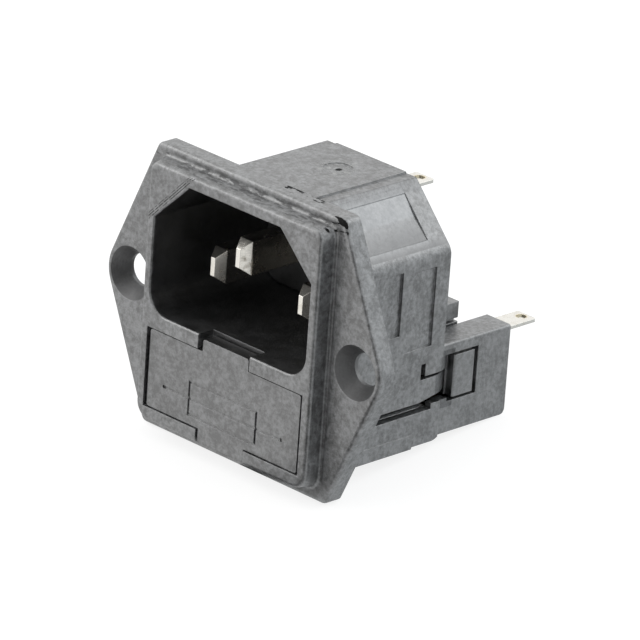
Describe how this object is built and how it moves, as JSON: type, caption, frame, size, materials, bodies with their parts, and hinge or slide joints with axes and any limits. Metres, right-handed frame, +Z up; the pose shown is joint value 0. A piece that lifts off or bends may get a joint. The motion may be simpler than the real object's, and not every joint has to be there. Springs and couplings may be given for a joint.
{
  "type": "c14 panel inlet socket",
  "caption": "Flanged mains inlet for panels: a recessed plug socket with three blades above a pull-out fuse drawer, and solder tags at the rear.",
  "frame": {"origin": "midway between the two fixing holes, on the rear face of the flange", "axes": "+X to the right seen from the front, +Y into the panel, +Z up, earth blade uppermost"},
  "size_m": [0.0436, 0.0386, 0.0338],
  "materials": {
    "black_housing_plastic": "satin, fine moulded grain",
    "black_carrier_plastic": "satin",
    "black_drawer_plastic": "satin, fine moulded grain",
    "nickel_plate": "satin nickel plate",
    "tinned_brass": "tin plate",
    "spring_bronze": "satin",
    "fuse_glass": "clear",
    "fuse_wire": "drawn"
  },
  "bodies": {
    "housing": {"main_housing": "black_housing_plastic", "contact_carrier": "black_carrier_plastic", "live_pin": "nickel_plate", "neutral_pin": "nickel_plate", "earth_pin": "nickel_plate", "earth_terminal": "tinned_brass", "output_terminal": "tinned_brass", "neutral_terminal": "tinned_brass", "live_link": "tinned_brass", "live_contact_spring": "spring_bronze", "output_contact_spring": "spring_bronze"},
    "drawer": {"fuse_drawer": "black_drawer_plastic", "active_fuse_tube": "fuse_glass", "active_fuse_cap_left": "nickel_plate", "active_fuse_cap_right": "nickel_plate", "active_fuse_wire": "fuse_wire", "spare_fuse_tube": "fuse_glass", "spare_fuse_cap_left": "nickel_plate", "spare_fuse_cap_right": "nickel_plate", "spare_fuse_wire": "fuse_wire"}
  },
  "joints": [
    {"name": "drawer_slide", "type": "slide", "parent": "housing", "child": "drawer", "axis": [0, -1, 0], "range_m": [0, 0.024]}
  ]
}
